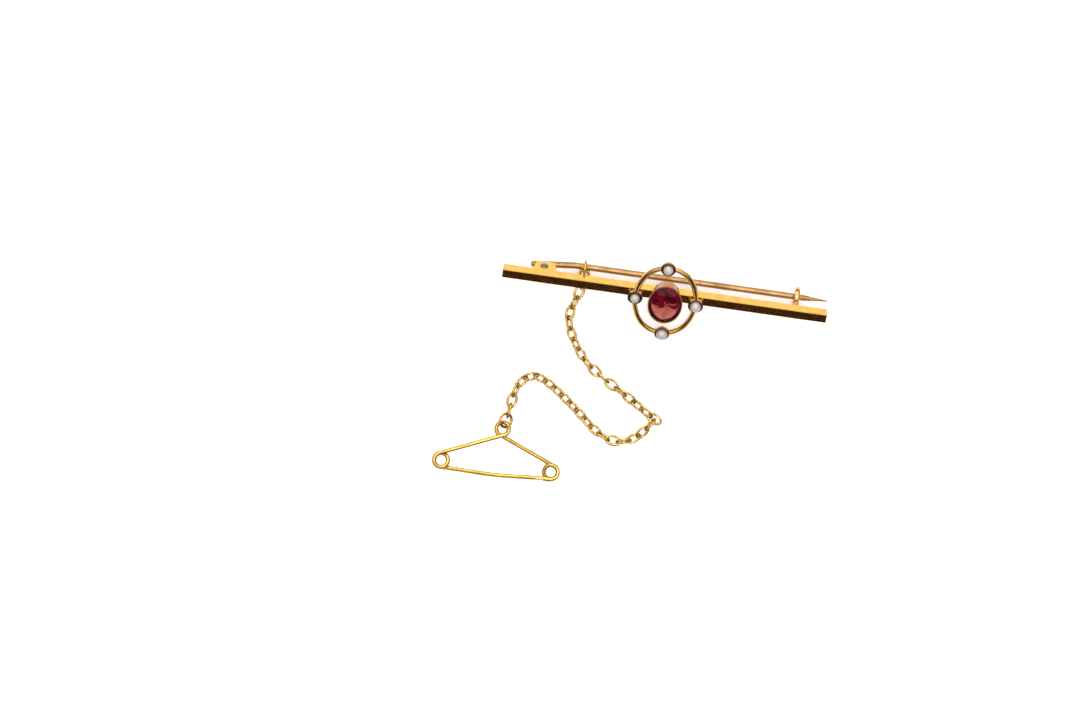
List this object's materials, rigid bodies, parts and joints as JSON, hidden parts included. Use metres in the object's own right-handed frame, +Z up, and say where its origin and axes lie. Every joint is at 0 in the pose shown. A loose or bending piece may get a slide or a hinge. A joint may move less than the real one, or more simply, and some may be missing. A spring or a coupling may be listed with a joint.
{
  "type": "bar brooch with safety chain",
  "caption": "Square gold bar brooch with an oval garnet, a pearl-set wire ring, a hinged pin with a looped catch, and a safety chain ending in a small safety pin.",
  "frame": {"origin": "on the surface it lies on, under the middle of the whole piece's box", "axes": "+X along the bar from the hinge to the catch, +Y away from the chain's safety pin, +Z up"},
  "size_m": [0.0524, 0.033, 0.0099],
  "materials": {
    "gold": "polished yellow gold, softly worn",
    "pin_gold": "drawn gold wire, duller and browner",
    "gold_chain": "small polished gold wire",
    "rivet_steel": "darkened rivet",
    "garnet": "polished transparent dark red stone",
    "pearl": "soft pearl lustre"
  },
  "bodies": {
    "brooch": {"brooch_frame": "gold", "garnet": "garnet", "pearl_right": "pearl", "pearl_top": "pearl", "pearl_left": "pearl", "pearl_bottom": "pearl", "hinge_rivet": "rivet_steel", "eyelet_ring": "gold_chain", "end_ring": "gold_chain", "safety_pin": "gold_chain", "chain_link_01": "gold_chain", "chain_link_02": "gold_chain", "chain_link_03": "gold_chain", "chain_link_04": "gold_chain", "chain_link_05": "gold_chain", "chain_link_06": "gold_chain", "chain_link_07": "gold_chain", "chain_link_08": "gold_chain", "chain_link_09": "gold_chain", "chain_link_10": "gold_chain", "chain_link_11": "gold_chain", "chain_link_12": "gold_chain", "chain_link_13": "gold_chain", "chain_link_14": "gold_chain", "chain_link_15": "gold_chain", "chain_link_16": "gold_chain", "chain_link_17": "gold_chain", "chain_link_18": "gold_chain", "chain_link_19": "gold_chain", "chain_link_20": "gold_chain", "chain_link_21": "gold_chain", "chain_link_22": "gold_chain", "chain_link_23": "gold_chain", "chain_link_24": "gold_chain", "chain_link_25": "gold_chain", "chain_link_26": "gold_chain", "chain_link_27": "gold_chain", "chain_link_28": "gold_chain", "chain_link_29": "gold_chain", "chain_link_30": "gold_chain", "chain_link_31": "gold_chain", "chain_link_32": "gold_chain", "chain_link_33": "gold_chain", "chain_link_34": "gold_chain", "chain_link_35": "gold_chain", "chain_link_36": "gold_chain", "chain_link_37": "gold_chain"},
    "pin": {"pin_stem": "pin_gold"}
  },
  "joints": [
    {"name": "pin_swing", "type": "hinge", "parent": "brooch", "child": "pin", "pos_m": [-0.01429, 0.01352, 0.00265], "axis": [0, 0.7314, 0.682], "range_deg": [0, 36]}
  ]
}
